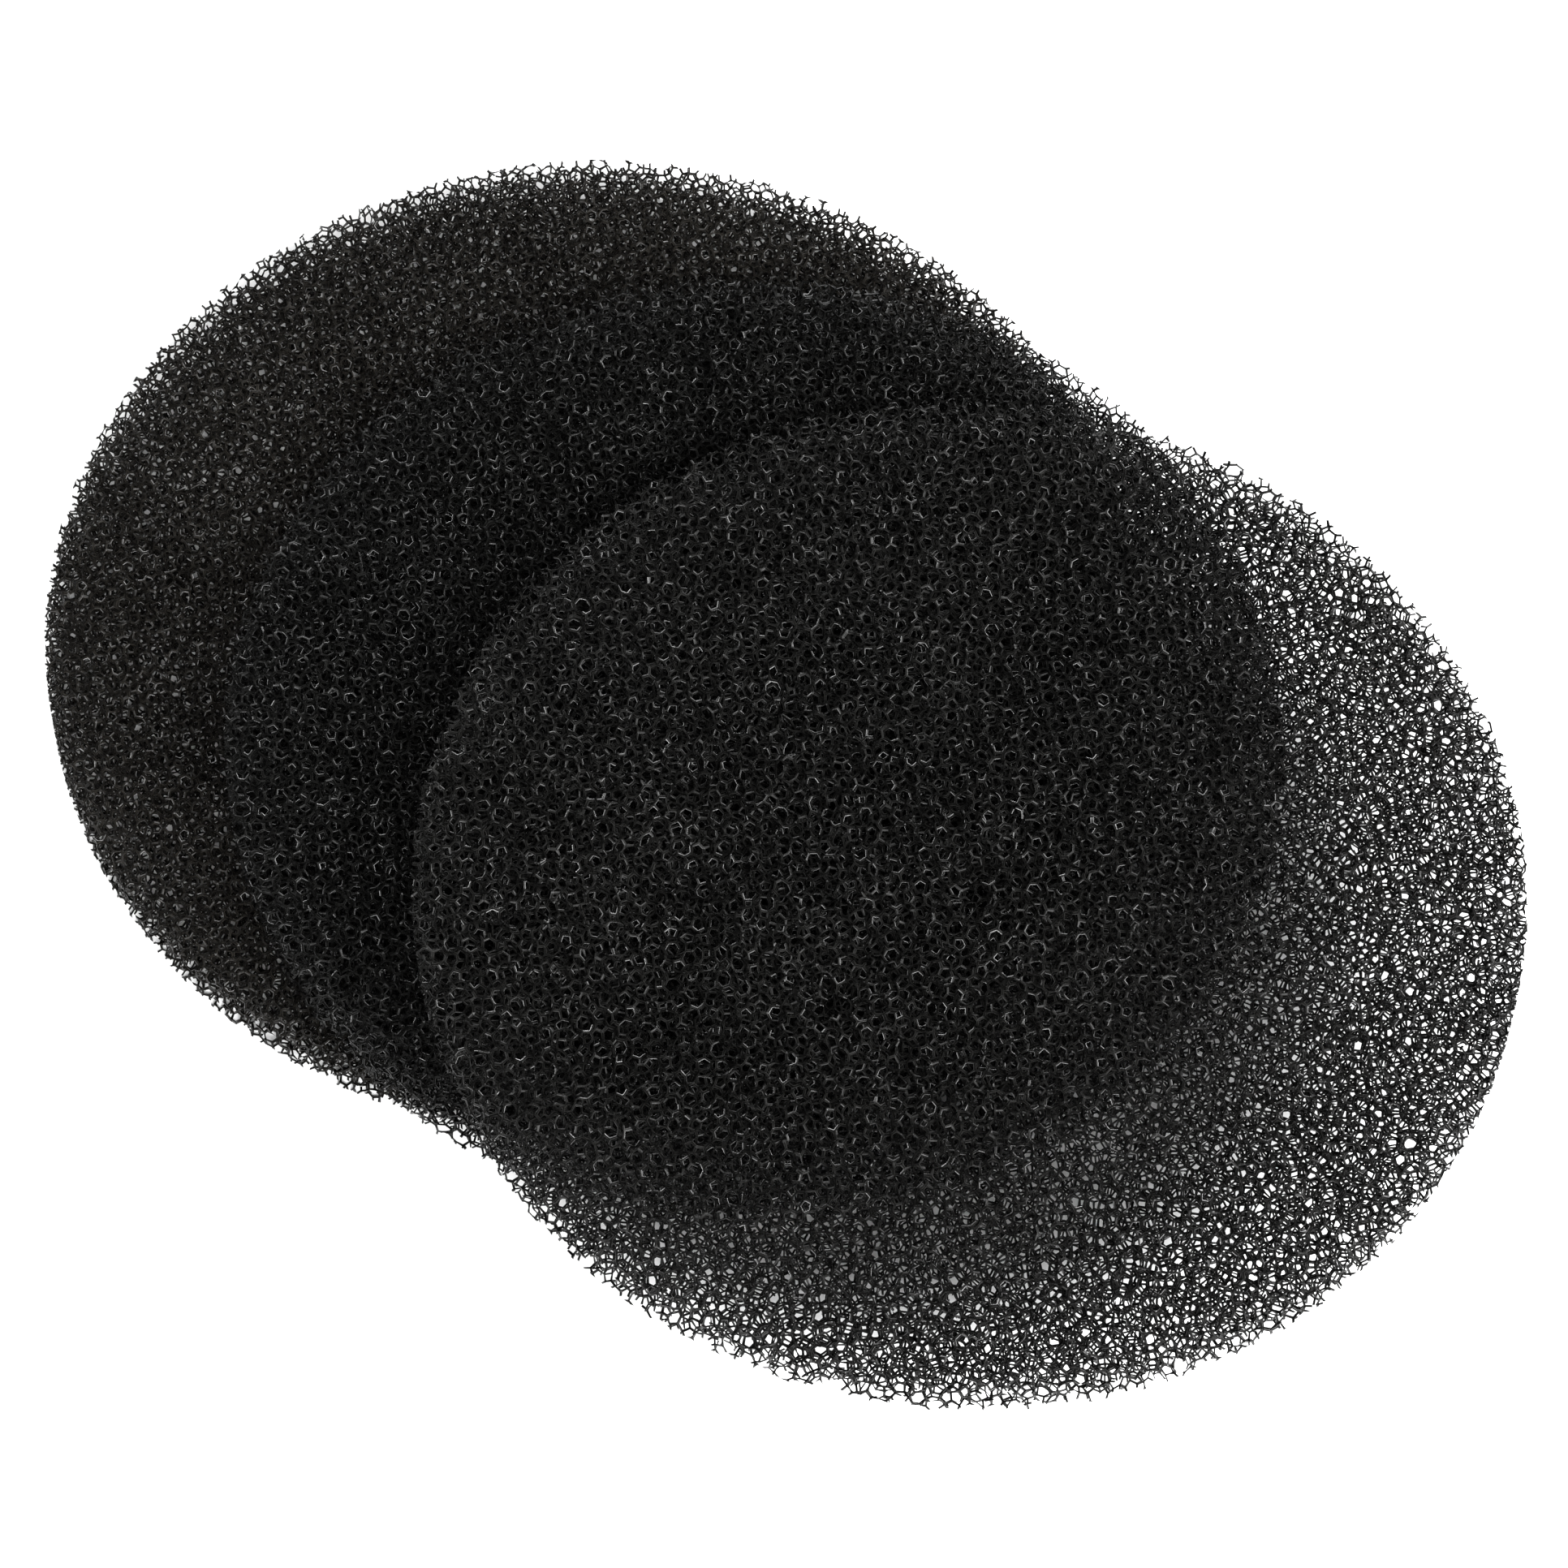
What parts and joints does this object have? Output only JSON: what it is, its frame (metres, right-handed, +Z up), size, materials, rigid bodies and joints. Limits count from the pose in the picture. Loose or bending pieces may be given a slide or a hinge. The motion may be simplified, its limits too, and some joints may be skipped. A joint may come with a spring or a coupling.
{
  "type": "foam filter pad set",
  "caption": "Loose round pads of coarse black open-cell filter foam, stacked and fanned out flat, for straining water in a canister.",
  "frame": {"origin": "on the surface that the pads lie on, under the middle of the whole fan", "axes": "+Z up, square to the pads' faces; +X from the bottom pad's centre towards the top pad's centre"},
  "size_m": [0.224, 0.155, 0.0274],
  "materials": {
    "black_foam": "satin"
  },
  "bodies": {
    "bottom": {"bottom_pad": "black_foam"},
    "middle": {"middle_pad": "black_foam"},
    "top": {"top_pad": "black_foam"}
  },
  "joints": [
    {"name": "middle_lift", "type": "slide", "parent": "bottom", "child": "middle", "axis": [0, 0, 1], "range_m": [0, 0.06]},
    {"name": "top_lift", "type": "slide", "parent": "middle", "child": "top", "axis": [0, 0, 1], "range_m": [0, 0.06]}
  ]
}
